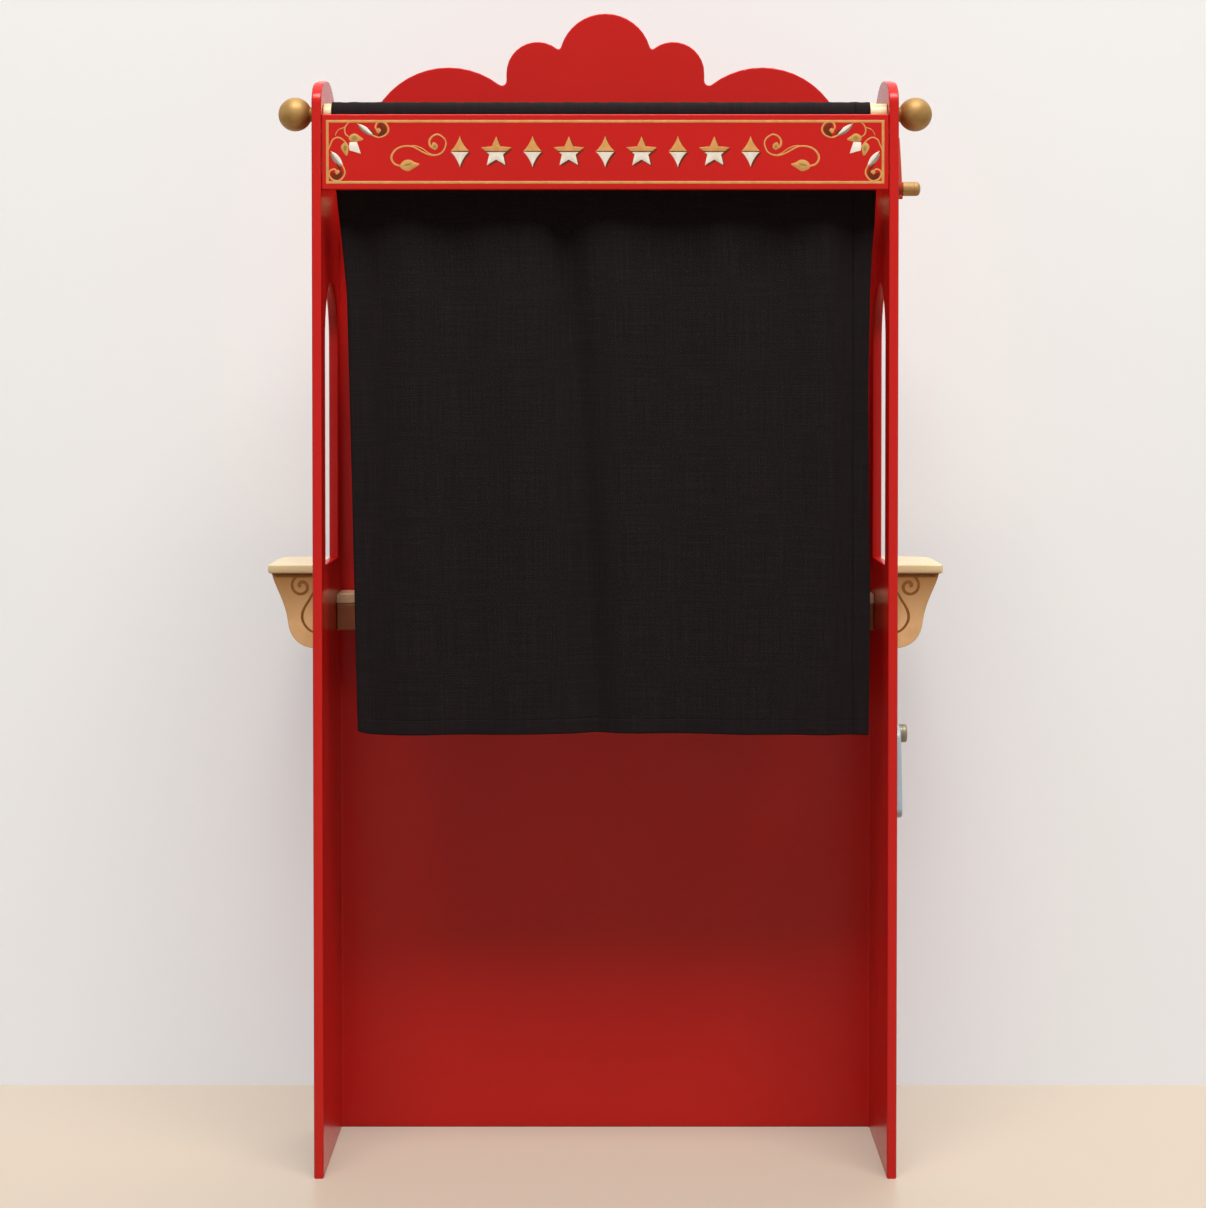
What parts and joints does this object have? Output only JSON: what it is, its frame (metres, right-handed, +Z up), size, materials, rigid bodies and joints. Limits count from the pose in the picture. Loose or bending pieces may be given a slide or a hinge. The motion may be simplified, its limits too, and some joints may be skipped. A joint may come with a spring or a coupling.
{
  "type": "puppet theater stand",
  "caption": "Free-standing wooden puppet theater booth for children, with stage opening, stage shelf, draw curtains, rear curtain, toy clock and swinging sign.",
  "frame": {"origin": "on the floor, at the middle of the stand's width and depth", "axes": "+Z up, +Y towards the audience, +X to the right seen from the puppeteer's side"},
  "size_m": [0.664, 0.273, 1.1],
  "materials": {
    "red_lacquer": "satin red lacquer on fibreboard",
    "cream_paint": "satin cream paint on fibreboard",
    "gold_paint": "satin gold paint on wood",
    "pale_wood": "clear lacquered pale wood",
    "black_cloth": "matt black slub cotton",
    "red_velvet": "dark red velvet",
    "sky_paint": "satin sky blue paint on fibreboard",
    "screw_steel": "zinc plated steel"
  },
  "bodies": {
    "root": {"side_panel_left": "red_lacquer", "side_panel_right": "red_lacquer", "front_panel": "red_lacquer", "header_board": "red_lacquer", "shelf_cleat": "red_lacquer", "stage_shelf": "cream_paint", "inner_ledge": "cream_paint", "ledge_apron": "gold_paint", "corbel_left": "gold_paint", "corbel_right": "gold_paint", "clock_knob": "gold_paint", "sign_knob": "gold_paint", "front_curtain_rod": "pale_wood", "rod_bracket_left": "pale_wood", "rod_bracket_right": "pale_wood", "clock_spacer": "pale_wood", "rear_curtain": "black_cloth", "front_curtain_left": "red_velvet", "front_curtain_right": "red_velvet", "panel_screw_left_1": "screw_steel", "panel_screw_left_2": "screw_steel", "panel_screw_left_3": "screw_steel", "panel_screw_right_1": "screw_steel", "panel_screw_right_2": "screw_steel", "panel_screw_right_3": "screw_steel", "header_screw_left_1": "screw_steel", "header_screw_left_2": "screw_steel", "header_screw_right_1": "screw_steel", "header_screw_right_2": "screw_steel", "ledge_screw_left_1": "screw_steel", "ledge_screw_left_2": "screw_steel", "ledge_screw_right_1": "screw_steel", "ledge_screw_right_2": "screw_steel", "shelf_screw_1": "screw_steel", "shelf_screw_2": "screw_steel", "shelf_screw_3": "screw_steel", "bracket_screw_left": "screw_steel", "bracket_screw_right": "screw_steel"},
    "rear_rod": {"rear_curtain_rod": "pale_wood", "rod_finial_left": "gold_paint", "rod_finial_right": "gold_paint"},
    "rear_curtain_edge": {"rear_curtain_hem": "black_cloth"},
    "left_curtain_edge": {"front_curtain_left_hem": "red_velvet"},
    "right_curtain_edge": {"front_curtain_right_hem": "red_velvet"},
    "hour_hand": {"hour_hand": "gold_paint"},
    "minute_hand": {"minute_hand": "gold_paint"},
    "sign": {"sign_plate": "sky_paint"}
  },
  "joints": [
    {"name": "rear_rod_turn", "type": "hinge", "parent": "root", "child": "rear_rod", "pos_m": [0, -0.1135, 0.9866], "axis": [1, 0, 0], "continuous": true},
    {"name": "rear_curtain_draw", "type": "slide", "parent": "root", "child": "rear_curtain_edge", "axis": [-1, 0, 0], "range_m": [0, 0.32], "deforming": ["rear_curtain"]},
    {"name": "left_curtain_draw", "type": "slide", "parent": "root", "child": "left_curtain_edge", "axis": [-1, 0, 0], "range_m": [0, 0.152], "deforming": ["front_curtain_left"]},
    {"name": "right_curtain_draw", "type": "slide", "parent": "root", "child": "right_curtain_edge", "axis": [1, 0, 0], "range_m": [0, 0.152], "deforming": ["front_curtain_right"]},
    {"name": "hour_hand_turn", "type": "hinge", "parent": "root", "child": "hour_hand", "pos_m": [0.2767, -0.0535, 0.9221], "axis": [1, 0, 0], "continuous": true},
    {"name": "minute_hand_turn", "type": "hinge", "parent": "root", "child": "minute_hand", "pos_m": [0.2804, -0.0535, 0.9221], "axis": [1, 0, 0], "continuous": true},
    {"name": "sign_swing", "type": "hinge", "parent": "root", "child": "sign", "pos_m": [0.2748, -0.0535, 0.403], "axis": [1, 0, 0], "continuous": true}
  ]
}
